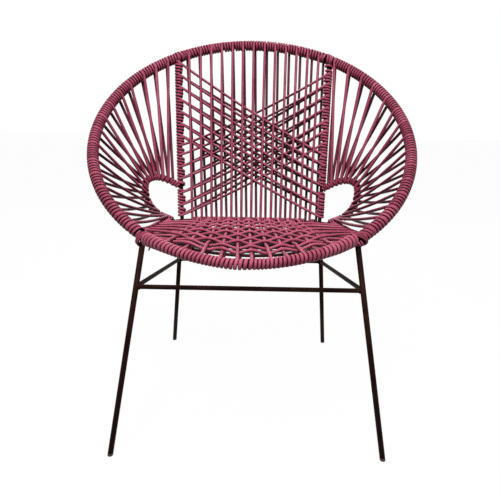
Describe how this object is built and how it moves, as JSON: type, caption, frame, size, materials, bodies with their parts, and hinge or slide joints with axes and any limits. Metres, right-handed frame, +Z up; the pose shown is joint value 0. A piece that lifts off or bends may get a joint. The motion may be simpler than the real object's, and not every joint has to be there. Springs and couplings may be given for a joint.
{
  "type": "acapulco chair",
  "caption": "Round string lounge chair: a leaning hoop and a seat ring of steel rod on splayed legs, wound and strung with plastic cord.",
  "frame": {"origin": "on the floor, under the middle of the chair's box", "axes": "+Z up, -Y to the front where the sitter's legs go, +X to the right as seen from the front"},
  "size_m": [0.7006, 0.6424, 0.8181],
  "materials": {
    "back_cord": "satin-gloss extruded cord, dusty wine red",
    "seat_cord": "satin-gloss extruded cord, dusty wine red, a little paler from light and use",
    "frame_paint": "dark brown-black paint, semi-gloss",
    "foot_plug": "matt black moulded plastic"
  },
  "bodies": {
    "root": {"seat_ring": "frame_paint", "hoop": "frame_paint", "back_upright_left": "frame_paint", "back_upright_right": "frame_paint", "arm_loop_left": "frame_paint", "arm_loop_right": "frame_paint", "leg_front_left": "frame_paint", "leg_front_right": "frame_paint", "leg_rear_left": "frame_paint", "leg_rear_right": "frame_paint", "stretcher_front": "frame_paint", "stretcher_rear": "frame_paint", "stretcher_left": "frame_paint", "stretcher_right": "frame_paint", "foot_plug_front_left": "foot_plug", "foot_plug_front_right": "foot_plug", "foot_plug_rear_left": "foot_plug", "foot_plug_rear_right": "foot_plug", "arm_loop_winding_left": "back_cord", "arm_loop_winding_right": "back_cord", "side_cord_left_upper": "back_cord", "side_cord_left_middle": "back_cord", "side_cord_left_lower": "back_cord", "side_cord_right_upper": "back_cord", "side_cord_right_middle": "back_cord", "side_cord_right_lower": "back_cord", "back_cord_upright": "back_cord", "back_cord_crossed": "back_cord", "seat_cord_lengthwise": "seat_cord", "seat_cord_crosswise": "seat_cord"}
  },
  "joints": []
}
